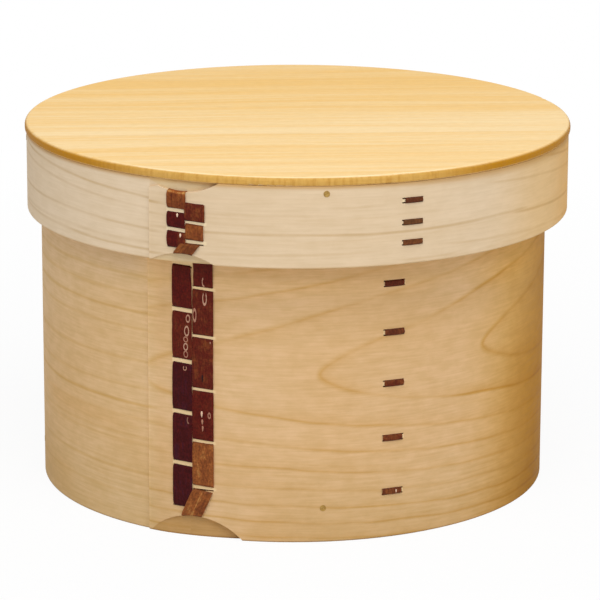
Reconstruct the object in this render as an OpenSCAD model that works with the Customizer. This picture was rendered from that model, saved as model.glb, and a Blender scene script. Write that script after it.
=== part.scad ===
// Bentwood rice tub with an over-fitting lid. Each wall is one thin board bent into a hoop,
// lapped on itself and stitched with strips of cherry bark. Millimetres, +Z up, front at -Y.
// The origin is the centre of the foot. Azimuths run from the front, plus to the right.

/* [Tub] */
// Outside diameter of the tub's hoop
tub_d = 200; // [190:1:225]
// Height of the tub's hoop
tub_h = 134; // [130:1:160]
// Thickness of the tub's hoop
tub_wall = 5; // [4.5:0.1:6]
// Height of the bottom board above the ground
foot_h = 8.5; // [8.2:0.1:8.6]
// Thickness of the bottom board
base_t = 10; // [8:0.5:10]

/* [Lid] */
// Thickness of the lid's hoop
lid_wall = 3.6; // [3.2:0.1:4]
// Play between the tub's hoop and the lid's hoop
lid_play = 3.4; // [3.2:0.1:5]
// Height of the lid's hoop
lid_hoop_h = 31.2; // [30:0.1:34]
// Thickness of the lid board's lip, which covers the hoop
lip_t = 3.4; // [2.8:0.1:5]
// How far the lip stands out past the hoop
lip_overhang = 0.6; // [0.4:0.1:3]
// Depth of the lid board's tongue, which fills the hoop
tongue_t = 5.8; // [5:0.1:6]
// How far the loose lid sits off centre, to the right
lid_offset = 1.6; // [0:0.1:1.6]

/* [Boards] */
// Width of one plank
plank_w = 52.6; // [50:0.1:55]
// Turn of the lid's planks from the X axis
lid_grain_turn = 4; // [-10:1:10]
// Turn of the bottom board's planks from the X axis
base_grain_turn = -3; // [-10:1:10]
// Diameter of the bamboo pegs
peg_d = 2.4; // [2:0.1:3]
// Diameter of the bamboo dowels in the plank joints
dowel_d = 3; // [2.5:0.1:4]

/* [Lap] */
// Thickness left at the scarfed ends of each hoop
lap_tip = 0.8; // [0.6:0.1:1]
// Step left where a scarfed end dies into the wall
lap_fade = 0.06; // [0.05:0.01:0.15]
// Azimuth of the outer end of the tub's lap
tub_lap_from = -32.8; // [-36:0.1:-31]
// Azimuth of the inner end of the tub's lap
tub_lap_to = 31; // [29:0.1:36]
// Azimuth of the outer end of the lid's lap
lid_lap_from = -30.8; // [-34:0.1:-30]
// Azimuth of the inner end of the lid's lap
lid_lap_to = 30; // [29:0.1:34]

/* [Bark] */
// Thickness of the bark where it turns into a slit
bark_t = 0.6; // [0.5:0.05:0.7]
// Width of one strip of bark on the tub's outer seam
tub_bark_w = 8.4; // [7.6:0.1:8.8]
// Width of one strip of bark on the lid's outer seam
lid_bark_w = 7.4; // [7:0.1:8.4]
// Width of the inner strips of bark
inner_bark_w = 8.8; // [7.6:0.1:9]
// Azimuth of the line between the two strips of the tub's outer seam
tub_seam = -21.95; // [-23:0.05:-21.5]
// Azimuth of the line between the two strips of the lid's outer seam
lid_seam = -22.7; // [-23.2:0.05:-22]
// Azimuth of the middle of the tub's inner strip
tub_inner_seam = 22.2; // [21:0.1:24]
// Azimuth of the middle of the lid's inner strip
lid_inner_seam = 23.4; // [21:0.1:24]
// Height from stitch to stitch on the tub's outer seam
tub_stitch = 19.6; // [19:0.1:20]
// Height from stitch to stitch on the tub's inner seam
tub_inner_stitch = 20.3; // [20:0.1:20.5]
// Height from stitch to stitch on the lid's outer seam
lid_stitch = 7.3; // [7:0.1:7.5]
// Height from stitch to stitch on the lid's inner seam
lid_inner_stitch = 7.9; // [7.5:0.1:8]

/* [Hidden] */
$fn = 180;

// Hoops, as [outside radius, wall, lap from, lap to, height, width of the outer strips]
lid_r = tub_d / 2 + lid_play + lid_wall;
tub_bend = [tub_d / 2, tub_wall, tub_lap_from, tub_lap_to, tub_h, tub_bark_w];
lid_bend = [lid_r, lid_wall, lid_lap_from, lid_lap_to, lid_hoop_h, lid_bark_w];
hoop_edge = 0.5;
lap_edge = 0.45;

// The lid's tongue rests on the tub's rim
lid_z = tub_h + tongue_t - lid_hoop_h;
lip_r = lid_r + lip_overhang;
lip_top_edge = 1.6;
lip_under_edge = 0.8;

// Scoops, as [azimuth, height of the arc's centre, arc radius], shallower to the left
scoop_depth = 1.3;
scoop_skew = 7.8;
tuck_reach = 3;
tuck_depth = 0.6;
tool_reach = 10;
tub_foot_scoop = [-21.6, -17.4, 25.7];
tub_rim_scoop = [-22.6, tub_h + 14.5, 20];
lid_foot_scoop = [-23.5, -21.65, 25.3];
lid_rim_scoop = [-23.7, lid_hoop_h + 22.65, 27];

// Where the upper corner of the lid's outer layer is clipped, beside the scoop
clip_az = -28.5;
clip_drop = 2.4;
clip_slope = 0.31;
clip_reach = 5;

// Running stitches: bars of wood stand between the stitches
tub_left_bar = 2;
tub_right_bar = 1.4;
lid_left_bar = 1.6;
lid_right_bar = 1.3;
tub_inner_bar = 1.4;
lid_inner_bar = 1;
slit_margin = 1;
strip_gap = 0.2;
blind_depth = 2.2;
stitch_crown = 0.2;
stitch_mid = bark_t + stitch_crown;
stitch_end = 0.08;
slant_gap = 0.1;
slant_mid = 1;
slant_end = 0.6;
tub_slant = 8.5;
lid_slant = 7.6;

// Each hand-made bar strays a little from the even pitch
tub_left_stray = [-0.1, 0.6, 1, 1.2, -0.3];
tub_right_stray = [-0.2, -1.6, -1, 0, -1, -0.5];
tub_inner_stray = [-0.5, 0.4, 1.5, 1.1, -0.3, 0];
lid_left_stray = [0, 0];
lid_right_stray = [0.1, 0];
lid_inner_stray = [-0.1, -0.3, 0.1];

// Bar heights: the tub's from the ground, the lid's from the lower edge of its hoop
tub_left_bars = run_bars(first = 28.6, pitch = tub_stitch, stray = tub_left_stray);
tub_left_foot = 11.5;
tub_right_bars = run_bars(first = 20.2, pitch = tub_stitch, stray = tub_right_stray);
tub_right_head = 127;
tub_inner_bars = run_bars(first = 18.7, pitch = tub_inner_stitch, stray = tub_inner_stray);
lid_left_bars = run_bars(first = 12.5, pitch = lid_stitch, stray = lid_left_stray);
lid_left_foot = 5.7;
lid_right_bars = run_bars(first = 8.3, pitch = lid_stitch, stray = lid_right_stray);
lid_right_head = 23;
lid_inner_bars = run_bars(first = 8.3, pitch = lid_inner_stitch, stray = lid_inner_stray);

// Plank joints, measured across the grain from the middle
base_joints = [for (i = [-1:1]) plank_w * i];
lid_joint_shift = -31.6;
lid_joints = [for (i = [-1:2]) plank_w * i + lid_joint_shift];
peg_turns = [0, 90, 180, 270];
base_peg_az = 6.6;
lid_peg_az = 5.7;
peg_bite = 9;
peg_tip = 4;
peg_point_d = 0.8;
peg_proud = 0.1;
peg_hole_reach = 1;
dowel_l = 16;
dowel_place = 0.55;
dowel_end = 0.4;

hoop_wood = [0.84, 0.72, 0.54];
lid_wood = [0.89, 0.80, 0.66];
board_wood = [0.93, 0.79, 0.54];
bamboo = [0.55, 0.43, 0.22];
dark_bark = [0.33, 0.17, 0.13];
red_bark = [0.46, 0.25, 0.16];

function polar(r, az) = [r * sin(az), -r * cos(az)];

function run_bars(first, pitch, stray) = [for (i = [0:len(stray) - 1]) first + pitch * i + stray[i]];

// Where the lapped stretch sits: round a centre set off to the side, so that the outer end stands
// proud by the tip's thickness, and the inner end does so inside
function bend_r(bend) = bend[0];
function bend_wall(bend) = bend[1];
function bend_from(bend) = bend[2];
function bend_to(bend) = bend[3];
function bend_h(bend) = bend[4];
function bend_bark(bend) = bend[5];
function lap_middle(bend) = (bend_from(bend) + bend_to(bend)) / 2;
function lap_shift(bend) = (lap_tip - lap_fade) / 2 / sin((bend_to(bend) - bend_from(bend)) / 2);
function lap_centre(bend) = -lap_shift(bend) * [cos(lap_middle(bend)), sin(lap_middle(bend))];
function lap_outer(bend) = bend_r(bend) + (lap_tip + lap_fade) / 2;
function lap_inner(bend) = bend_r(bend) - bend_wall(bend) - (lap_tip + lap_fade) / 2;

// An azimuth seen from the lap's own centre
function lap_az(bend, az) =
    let (p = polar(bend_r(bend), az) - lap_centre(bend))
    atan2(p.x, -p.y);

// Outside radius of the hoop at an azimuth
function outside_r(bend, az) =
    az > bend_from(bend) && az < bend_to(bend)
        ? bend_r(bend) + lap_fade
            + (lap_tip - lap_fade) * (bend_to(bend) - az) / (bend_to(bend) - bend_from(bend))
        : bend_r(bend);

function bark_angle(bend, width) = (width - strip_gap) / lap_outer(bend) * 180 / PI;
function strip_angle(bend) = bark_angle(bend, bend_bark(bend));
function inner_angle(bend) = bark_angle(bend, inner_bark_w);

// A profile turned round the lap's centre, over one strip of bark
module round_lap(bend, az_from, angle)
{
    translate(lap_centre(bend))
        rotate([0, 0, lap_az(bend, az_from) - 90])
            rotate_extrude(angle = angle)
                children();
}

// Something made along +X, turned to point outwards at an azimuth and height
module outwards(az, z)
{
    rotate([0, 0, az - 90])
        translate([0, 0, z])
            children();
}

module rounded_strip(width, height, edge)
{
    translate([edge, 0])
        square([width - 2 * edge, height]);
    translate([0, edge])
        square([width, height - 2 * edge]);
    for (x = [edge, width - edge], y = [edge, height - edge])
        translate([x, y])
            circle(edge);
}

module hoop_profile(inner, outer, height, edge)
{
    translate([inner, 0])
        rounded_strip(outer - inner, height, edge);
}

module lap_sector(bend, from, to)
{
    reach = 2 * bend_r(bend);
    polygon([[0, 0], polar(reach, from), polar(reach, to)]);
}

module bent_hoop(bend)
{
    turn = bend_to(bend) - bend_from(bend);
    rotate([0, 0, bend_to(bend) - 90])
        rotate_extrude(angle = 360 - turn)
            hoop_profile(bend_r(bend) - bend_wall(bend), bend_r(bend), bend_h(bend), hoop_edge);
    intersection()
    {
        translate(lap_centre(bend))
            rotate_extrude()
                hoop_profile(lap_inner(bend), lap_outer(bend), bend_h(bend), lap_edge);
        linear_extrude(bend_h(bend))
            lap_sector(bend, bend_from(bend), bend_to(bend));
    }
}

// The outline of a board that fills a hoop
module inside_outline(bend)
{
    plain = bend_r(bend) - bend_wall(bend);
    difference()
    {
        circle(plain);
        difference()
        {
            lap_sector(bend, bend_from(bend), bend_to(bend));
            translate(lap_centre(bend))
                circle(lap_inner(bend));
        }
    }
}

// The round tool that pares a scoop, less a margin
module scoop_tool(bend, scoop, margin)
{
    outwards(scoop[0], scoop[1])
        rotate([0, 90, 0])
            cylinder(r = scoop[2] - margin, h = lap_outer(bend) + tool_reach);
}

module scoop_cut(bend, scoop)
{
    floor_r = norm([lap_outer(bend) - scoop_depth, scoop_skew]);
    difference()
    {
        scoop_tool(bend, scoop, 0);
        translate(lap_centre(bend) + polar(scoop_skew, scoop[0] - 90))
            translate([0, 0, -bend_h(bend)])
                cylinder(r = floor_r, h = 3 * bend_h(bend));
    }
}

// The outer layer's upper corner, cut off down to the layer below
module corner_clip(bend)
{
    high = bend_h(bend);
    low = high - clip_drop;
    difference()
    {
        outwards(clip_az, 0)
            rotate([90, 0, 90])
                linear_extrude(lap_outer(bend) + tool_reach)
                    polygon([
                        [0, low],
                        [0, 2 * high],
                        [-clip_reach, 2 * high],
                        [-clip_reach, low - clip_reach * clip_slope]
                    ]);
        cylinder(r = bend_r(bend) + lap_fade, h = 3 * high);
    }
}

// Bark that turns down over the edge of a scoop onto its floor
module scoop_tuck(bend, scoop)
{
    intersection()
    {
        children();
        difference()
        {
            scoop_tool(bend, scoop, 0);
            scoop_tool(bend, scoop, bark_t);
        }
    }
}

// One crowned stitch on a surface of radius r, outwards for side 1 and inwards for side -1
module stitch(r, z_from, z_to, side, mid = stitch_mid, end = stitch_end)
{
    half = (z_to - z_from) / 2;
    rise = mid - end;
    arc = (half * half + rise * rise) / (2 * rise);
    intersection()
    {
        translate([r + side * (mid - arc), z_from + half])
            circle(arc);
        translate([side > 0 ? r : r - mid, z_from])
            square([mid, 2 * half]);
    }
}

// Where bark passes through the wall above and below each bar
module legs(from_r, to_r, bars, bar)
{
    for (z = bars, low = [z - bar / 2 - bark_t, z + bar / 2])
        translate([from_r, low])
            square([to_r - from_r, bark_t]);
}

module blind_leg(bend, z)
{
    translate([lap_outer(bend) - blind_depth, z])
        square([blind_depth + stitch_end, bark_t]);
}

// Long stitches outside, from the lowest end to the highest, with short ones inside
module outer_run(bend, bars, bar, low, high)
{
    starts = concat(low == undef ? [] : [low], [for (z = bars) z + bar / 2]);
    stops = concat([for (z = bars) if (low != undef || z > bars[0]) z - bar / 2], [high]);
    for (i = [0:len(starts) - 1])
        stitch(lap_outer(bend), starts[i], stops[i], 1);
    for (z = bars)
        stitch(lap_inner(bend), z - bar / 2 - bark_t, z + bar / 2 + bark_t, -1);
    legs(lap_inner(bend) - stitch_end, lap_outer(bend) + stitch_end, bars, bar);
}

// Long stitches inside, with short ones outside
module inner_run(bend, bars, bar)
{
    last = len(bars) - 1;
    for (i = [0:last - 1])
        stitch(lap_inner(bend), bars[i] + bar / 2, bars[i + 1] - bar / 2, -1);
    for (z = bars)
        stitch(lap_outer(bend), z - bar / 2 - bark_t, z + bar / 2 + bark_t, 1);
    inner_legs(bend, bars, bar, lap_inner(bend) - stitch_end, lap_outer(bend) + stitch_end);
}

// The first and last legs of the inner strip end inside the wall
module inner_legs(bend, bars, bar, from_r, to_r)
{
    for (i = [0:len(bars) - 1], up = [0, 1])
    {
        ends = (i == 0 && up == 0) || (i == len(bars) - 1 && up == 1);
        deepest = ends ? lap_outer(bend) - blind_depth : from_r;
        translate([deepest, up == 1 ? bars[i] + bar / 2 : bars[i] - bar / 2 - bark_t])
            square([to_r - deepest, bark_t]);
    }
}

// The slits that a strip's legs fill
module through_slits(bend, bars, bar)
{
    legs(lap_inner(bend) - slit_margin, lap_outer(bend) + slit_margin, bars, bar);
}

module blind_slit(bend, z)
{
    translate([lap_outer(bend) - blind_depth, z])
        square([blind_depth + slit_margin, bark_t]);
}

function left_az(bend, seam) = seam - strip_angle(bend) - strip_gap / bend_r(bend) * 90 / PI;
function right_az(bend, seam) = seam + strip_gap / bend_r(bend) * 90 / PI;
function inner_az(bend, seam) = seam - inner_angle(bend) / 2;
function slant_top(bars, bar) = bars[0] - bar / 2;

// The left strip of an outer seam: from a blind slit at the foot, where it gives way to the slanted
// stitch, to the scoop at the rim
module left_strip(bend, seam, bars, bar, foot, scoop, slant_top, slant)
{
    head = scoop[1] - scoop[2] + tuck_reach;
    from = left_az(bend, seam);
    difference()
    {
        round_lap(bend, from, strip_angle(bend))
        {
            outer_run(bend, bars, bar, foot, head);
            blind_leg(bend, foot);
        }
        scoop_tool(bend, scoop, bark_t);
        slant_prism(bend, seam, slant_top, slant, slant_gap);
    }
    scoop_tuck(bend, scoop)
        round_lap(bend, from, strip_angle(bend))
            translate([lap_outer(bend) - tuck_depth, bars[0]])
                square([tuck_depth, head - bars[0]]);
}

// The slanted last stitch, from the lowest bar down to the scoop at the foot
module slant_prism(bend, seam, top, slant, margin)
{
    left = strip_gap / 2 - margin;
    right = bend_bark(bend) - strip_gap / 2 + margin;
    outwards(seam, 0)
        rotate([90, 0, 90])
            linear_extrude(lap_outer(bend) + tool_reach)
                polygon([[left, top], [right, top], [right - slant, 0], [left - slant, 0]]);
}

module slanted_stitch(bend, seam, top, slant, scoop)
{
    spread = 2 * strip_angle(bend);
    from = seam - spread / 2;
    low = scoop[1] + scoop[2] - tuck_reach;
    difference()
    {
        intersection()
        {
            round_lap(bend, from, spread)
                stitch(lap_outer(bend), low, top, 1, slant_mid, slant_end);
            slant_prism(bend, seam, top, slant, 0);
        }
        scoop_tool(bend, scoop, bark_t);
    }
    scoop_tuck(bend, scoop)
        intersection()
        {
            round_lap(bend, from, spread)
                translate([lap_outer(bend) - tuck_depth, low])
                    square([tuck_depth, top - low]);
            slant_prism(bend, seam, top, slant, 0);
        }
}

// The right strip of an outer seam: from a blind slit at the head to the slanted stitch
module right_strip(bend, seam, bars, bar, head, slant, scoop)
{
    round_lap(bend, right_az(bend, seam), strip_angle(bend))
    {
        outer_run(bend, bars, bar, undef, head);
        blind_leg(bend, head - bark_t);
    }
    slanted_stitch(bend, seam, slant_top(bars, bar), slant, scoop);
}

module inner_strip(bend, seam, bars, bar)
{
    round_lap(bend, inner_az(bend, seam), inner_angle(bend))
        inner_run(bend, bars, bar);
}

// The slits of one hoop, strip by strip
module left_slits(bend, seam, bars, bar, foot)
{
    round_lap(bend, left_az(bend, seam), strip_angle(bend))
    {
        through_slits(bend, bars, bar);
        blind_slit(bend, foot);
    }
}

module right_slits(bend, seam, bars, bar, head)
{
    round_lap(bend, right_az(bend, seam), strip_angle(bend))
    {
        through_slits(bend, bars, bar);
        blind_slit(bend, head - bark_t);
    }
}

module inner_slits(bend, seam, bars, bar)
{
    round_lap(bend, inner_az(bend, seam), inner_angle(bend))
        inner_legs(bend, bars, bar, lap_inner(bend) - slit_margin, lap_outer(bend) + slit_margin);
}

// Bamboo pegs, pointed at the inner end
module pegs(bend, az, z, proud)
{
    for (turn = peg_turns)
    {
        inner = bend_r(bend) - bend_wall(bend) - peg_bite;
        outer = outside_r(bend, az + turn) + proud;
        outwards(az + turn, z)
            rotate([0, 90, 0])
            {
                translate([0, 0, inner + peg_tip])
                    cylinder(d = peg_d, h = outer - inner - peg_tip);
                translate([0, 0, inner])
                    cylinder(d1 = peg_point_d, d2 = peg_d, h = peg_tip);
            }
    }
}

// Bamboo dowels, two across each plank joint, eased at both ends
module dowels(joints, reach, turn, z)
{
    straight = dowel_l - 2 * dowel_end;
    for (n = joints, side = [-1, 1])
        rotate([0, 0, turn])
            translate([side * dowel_place * sqrt(reach * reach - n * n), n, z])
                rotate([90, 0, 0])
                {
                    cylinder(d = dowel_d, h = straight, center = true);
                    for (end = [0, 1])
                        mirror([0, 0, end])
                            translate([0, 0, straight / 2])
                                cylinder(d1 = dowel_d, d2 = dowel_d - 2 * dowel_end, h = dowel_end);
                }
}

// The space that one plank takes, between two joints
module plank_space(joints, i, reach, turn, height)
{
    from = i == 0 ? -reach : joints[i - 1];
    to = i == len(joints) ? reach : joints[i];
    rotate([0, 0, turn])
        translate([-reach, from, 0])
            cube([2 * reach, to - from, height]);
}

module base_peg_shapes(proud)
{
    pegs(tub_bend, base_peg_az, foot_h + base_t / 2, proud);
}

module base_dowel_shapes()
{
    dowels(base_joints, tub_d / 2 - tub_wall, base_grain_turn, foot_h + base_t / 2);
}

module lid_peg_shapes(proud)
{
    pegs(lid_bend, lid_peg_az, lid_hoop_h - tongue_t / 2, proud);
}

module lid_dowel_shapes()
{
    middle = lid_hoop_h - tongue_t + (lip_t + tongue_t) / 2;
    dowels(lid_joints, lid_r - lid_wall, lid_grain_turn, middle);
}

module lip_profile()
{
    square([lip_r - lip_top_edge, lip_t]);
    translate([0, lip_under_edge])
        square([lip_r, lip_t - lip_top_edge - lip_under_edge]);
    translate([lip_r - lip_top_edge, lip_t - lip_top_edge])
        circle(lip_top_edge);
    translate([lip_r - lip_under_edge, lip_under_edge])
        circle(lip_under_edge);
}

module lid_lip()
{
    translate([0, 0, lid_hoop_h])
        rotate_extrude()
            lip_profile();
}

module lid_tongue()
{
    translate([0, 0, lid_hoop_h - tongue_t])
        linear_extrude(tongue_t)
            inside_outline(lid_bend);
}

// The lid's pieces are made round its own axis, from the lower edge of its hoop
module on_tub()
{
    translate([lid_offset, 0, lid_z])
        children();
}

module tub_hoop()
{
    color(hoop_wood)
        difference()
        {
            bent_hoop(tub_bend);
            left_slits(tub_bend, tub_seam, tub_left_bars, tub_left_bar, tub_left_foot);
            right_slits(tub_bend, tub_seam, tub_right_bars, tub_right_bar, tub_right_head);
            inner_slits(tub_bend, tub_inner_seam, tub_inner_bars, tub_inner_bar);
            scoop_cut(tub_bend, tub_foot_scoop);
            scoop_cut(tub_bend, tub_rim_scoop);
            base_peg_shapes(peg_hole_reach);
        }
}

module tub_left_bark()
{
    color(dark_bark)
        left_strip(tub_bend, tub_seam, tub_left_bars, tub_left_bar, tub_left_foot, tub_rim_scoop,
            slant_top(tub_right_bars, tub_right_bar), tub_slant);
}

module tub_right_bark()
{
    color(red_bark)
        right_strip(tub_bend, tub_seam, tub_right_bars, tub_right_bar, tub_right_head, tub_slant,
            tub_foot_scoop);
}

module tub_inner_bark()
{
    color(dark_bark)
        inner_strip(tub_bend, tub_inner_seam, tub_inner_bars, tub_inner_bar);
}

module base_plank(i)
{
    color(board_wood)
        difference()
        {
            intersection()
            {
                translate([0, 0, foot_h])
                    linear_extrude(base_t)
                        inside_outline(tub_bend);
                plank_space(base_joints, i, tub_d, base_grain_turn, tub_h);
            }
            base_peg_shapes(0);
            base_dowel_shapes();
        }
}

module base_dowels()
{
    color(bamboo)
        base_dowel_shapes();
}

module base_pegs()
{
    color(bamboo)
        base_peg_shapes(peg_proud);
}

module lid_hoop()
{
    color(lid_wood)
        on_tub()
            difference()
            {
                bent_hoop(lid_bend);
                left_slits(lid_bend, lid_seam, lid_left_bars, lid_left_bar, lid_left_foot);
                right_slits(lid_bend, lid_seam, lid_right_bars, lid_right_bar, lid_right_head);
                inner_slits(lid_bend, lid_inner_seam, lid_inner_bars, lid_inner_bar);
                scoop_cut(lid_bend, lid_foot_scoop);
                scoop_cut(lid_bend, lid_rim_scoop);
                corner_clip(lid_bend);
                lid_peg_shapes(peg_hole_reach);
            }
}

module lid_left_bark()
{
    color(dark_bark)
        on_tub()
            left_strip(lid_bend, lid_seam, lid_left_bars, lid_left_bar, lid_left_foot, lid_rim_scoop,
                slant_top(lid_right_bars, lid_right_bar), lid_slant);
}

module lid_right_bark()
{
    color(red_bark)
        on_tub()
            right_strip(lid_bend, lid_seam, lid_right_bars, lid_right_bar, lid_right_head, lid_slant,
                lid_foot_scoop);
}

module lid_inner_bark()
{
    color(dark_bark)
        on_tub()
            inner_strip(lid_bend, lid_inner_seam, lid_inner_bars, lid_inner_bar);
}

module lid_plank(i)
{
    color(board_wood)
        on_tub()
            difference()
            {
                for (layer = [0, 1])
                    intersection()
                    {
                        if (layer == 0)
                            lid_lip();
                        else
                            lid_tongue();
                        plank_space(lid_joints, i, 2 * lid_r, lid_grain_turn, 2 * lid_hoop_h);
                    }
                lid_peg_shapes(0);
                lid_dowel_shapes();
            }
}

module lid_dowels()
{
    color(bamboo)
        on_tub()
            lid_dowel_shapes();
}

module lid_pegs()
{
    color(bamboo)
        on_tub()
            lid_peg_shapes(peg_proud);
}

tub_hoop();
tub_left_bark();
tub_right_bark();
tub_inner_bark();
for (i = [0:len(base_joints)])
    base_plank(i);
base_dowels();
base_pegs();
lid_hoop();
lid_left_bark();
lid_right_bark();
lid_inner_bark();
for (i = [0:len(lid_joints)])
    lid_plank(i);
lid_dowels();
lid_pegs();
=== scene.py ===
import math
from functools import partial

import bpy
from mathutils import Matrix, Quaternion, Vector, noise


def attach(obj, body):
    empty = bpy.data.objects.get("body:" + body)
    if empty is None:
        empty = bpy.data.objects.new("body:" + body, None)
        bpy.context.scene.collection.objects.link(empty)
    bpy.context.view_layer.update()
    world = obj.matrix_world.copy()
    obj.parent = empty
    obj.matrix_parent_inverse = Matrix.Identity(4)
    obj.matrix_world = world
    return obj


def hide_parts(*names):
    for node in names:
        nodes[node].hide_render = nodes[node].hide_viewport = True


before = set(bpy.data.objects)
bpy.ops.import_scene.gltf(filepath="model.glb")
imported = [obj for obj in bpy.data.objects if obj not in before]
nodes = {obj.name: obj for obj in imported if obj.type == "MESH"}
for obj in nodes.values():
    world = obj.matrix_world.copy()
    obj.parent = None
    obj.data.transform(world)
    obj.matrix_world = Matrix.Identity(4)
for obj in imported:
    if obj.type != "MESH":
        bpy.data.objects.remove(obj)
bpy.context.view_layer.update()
mm = 0.001
print("frame loaded with", len(nodes), "nodes")


def deselectAll():
    bpy.ops.object.select_all(action="DESELECT")


def paint(red, green, blue):
    # a colour as a picture shows it, 0 to 255, made linear for a shader
    shares = [c / 255 for c in (red, green, blue)]
    linear = [s / 12.92 if s <= 0.04045 else ((s + 0.055) / 1.055) ** 2.4 for s in shares]
    return (*linear, 1.0)


# Shader helpers: small functions that add one node each to the tree on the bench

bench = {"tree": None}


def addNode(kind, **settings):
    node = bench["tree"].nodes.new("ShaderNode" + kind)
    for name, value in settings.items():
        setattr(node, name, value)
    return node


def feed(socket, source):
    if isinstance(source, bpy.types.NodeSocket):
        bench["tree"].links.new(source, socket)
    else:
        socket.default_value = source


def give(sockets, **values):
    for name, value in values.items():
        feed(sockets[name], value)


def calc(operation, *values):
    node = addNode("Math", operation=operation)
    for socket, value in zip(node.inputs, values):
        feed(socket, value)
    return node.outputs[0]


minus, plus, over = [partial(calc, operation) for operation in ("SUBTRACT", "ADD", "DIVIDE")]
least, most, sizeOf = [partial(calc, operation) for operation in ("MINIMUM", "MAXIMUM", "ABSOLUTE")]
timesPlus = partial(calc, "MULTIPLY_ADD")


def times(first, *others):
    for other in others:
        first = calc("MULTIPLY", first, other)
    return first


def span(value, low, high, outLow=0.0, outHigh=1.0):
    node = addNode("MapRange", interpolation_type="SMOOTHSTEP")
    for socket, source in zip(node.inputs, (value, low, high, outLow, outHigh)):
        feed(socket, source)
    return node.outputs[0]


def mixColour(factor, first, second, blend="MIX"):
    node = addNode("Mix", data_type="RGBA", blend_type=blend)
    feed(node.inputs[0], factor)
    feed(node.inputs[6], first)
    feed(node.inputs[7], second)
    return node.outputs[2]


def joinXyz(x, y, z):
    node = addNode("CombineXYZ")
    for socket, value in zip(node.inputs, (x, y, z)):
        feed(socket, value)
    return node.outputs[0]


def splitXyz(vector):
    node = addNode("SeparateXYZ")
    feed(node.inputs[0], vector)
    return node.outputs


def stretch(x, xShare, y, yShare, z):
    # a place drawn out along one direction, for streaks and swells
    return joinXyz(times(x, xShare), times(y, yShare), z)


def cloud(vector, scale=1.0, detail=2.0, roughness=0.5):
    node = addNode("TexNoise")
    feed(node.inputs["Vector"], vector)
    node.inputs["Scale"].default_value = scale
    node.inputs["Detail"].default_value = detail
    node.inputs["Roughness"].default_value = roughness
    return node.outputs[0]


def lottery(value):
    node = addNode("TexWhiteNoise", noise_dimensions="1D")
    feed(node.inputs["W"], value)
    return node.outputs[0]


def toneRamp(value, stops):
    node = addNode("ValToRGB")
    ramp = node.color_ramp
    while len(ramp.elements) < len(stops):
        ramp.elements.new(0.5)
    for element, (place, colour) in zip(ramp.elements, stops):
        element.position = place
        element.color = colour
    feed(node.inputs[0], value)
    return node.outputs[0]


def shaded(colour, shade):
    return mixColour(1.0, colour, joinXyz(shade, shade, shade), "MULTIPLY")


white = (1, 1, 1, 1)


def tinted(colour, share, low, high):
    # a colour multiplied by a tint that lies between two
    return mixColour(1.0, colour, mixColour(share, low, high), "MULTIPLY")


def newGroup(name, inputs, outputs):
    tree = bench["tree"] = bpy.data.node_groups.new(name, "ShaderNodeTree")
    for side, sockets in (("INPUT", inputs), ("OUTPUT", outputs)):
        for socket in sockets:
            kind = "NodeSocketVector" if socket == "place" else "NodeSocketFloat"
            tree.interface.new_socket(name=socket, in_out=side, socket_type=kind)
    given = tree.nodes.new("NodeGroupInput").outputs
    made = tree.nodes.new("NodeGroupOutput").inputs
    return tree, given, made


def useGroup(group, **values):
    node = addNode("Group", node_tree=group)
    give(node.inputs, **values)
    return node.outputs


def newMaterial(name, specular=0.5):
    material = bpy.data.materials.new(name)
    material.use_nodes = True
    bench["tree"] = material.node_tree
    shader = material.node_tree.nodes["Principled BSDF"]
    shader.inputs["Specular IOR Level"].default_value = specular
    return material, shader


def objectPlace():
    return addNode("TexCoord").outputs["Object"]


def attribute(name):
    return addNode("Attribute", attribute_name=name).outputs["Fac"]


def bumpOn(shader, height, strength):
    bump = addNode("Bump")
    bump.inputs["Strength"].default_value = strength
    bump.inputs["Distance"].default_value = 0.1 * mm
    feed(bump.inputs["Height"], height)
    feed(shader.inputs["Normal"], bump.outputs[0])


def finishWood(shader, colour, fibre, lines, smooth, rough):
    # planed wood: its fibres and its rings stand out a little
    feed(shader.inputs["Base Color"], colour)
    feed(shader.inputs["Roughness"], span(fibre, 0.2, 0.8, smooth, rough))
    bumpOn(shader, timesPlus(lines, 0.6, fibre), 0.2)


# The two hoops, in millimetres and degrees from the front, plus to the right

tubHoop = {
    "radius": 100, "wall": 5, "height": 134,
    "lapFrom": -32.8, "lapTo": 31, "lapTip": 0.8, "lapFade": 0.06,
    "shiftX": 0, "foot": 0,
}
lidHoop = {
    "radius": 107, "wall": 3.6, "height": 31.2,
    "lapFrom": -30.8, "lapTo": 30, "lapTip": 0.8, "lapFade": 0.06,
    "shiftX": 1.6, "foot": 108.6,
}


def lapRadius(hoop, azimuth, side):
    # distance from the hoop's axis to its lapped face, outside for side 1 and inside for side -1
    half = math.radians((hoop["lapTo"] - hoop["lapFrom"]) / 2)
    middle = math.radians((hoop["lapTo"] + hoop["lapFrom"]) / 2)
    shift = (hoop["lapTip"] - hoop["lapFade"]) / 2 / math.sin(half)
    centre = Vector((-shift * math.cos(middle), -shift * math.sin(middle)))
    margin = (hoop["lapTip"] + hoop["lapFade"]) / 2
    bend = hoop["radius"] + margin if side > 0 else hoop["radius"] - hoop["wall"] - margin
    turn = math.radians(azimuth)
    along = centre.dot(Vector((math.sin(turn), -math.cos(turn))))
    return along + math.sqrt(bend ** 2 - centre.length_squared + along ** 2)


def hoopPoint(hoop, azimuth, height, side, rise):
    reach = lapRadius(hoop, azimuth, side) + side * rise
    turn = math.radians(azimuth)
    x = hoop["shiftX"] + reach * math.sin(turn)
    y = -reach * math.cos(turn)
    return Vector((x, y, hoop["foot"] + height)) * mm


# Where the stitches of each seam pass through the wall: heights of the bars of wood between them

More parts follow.
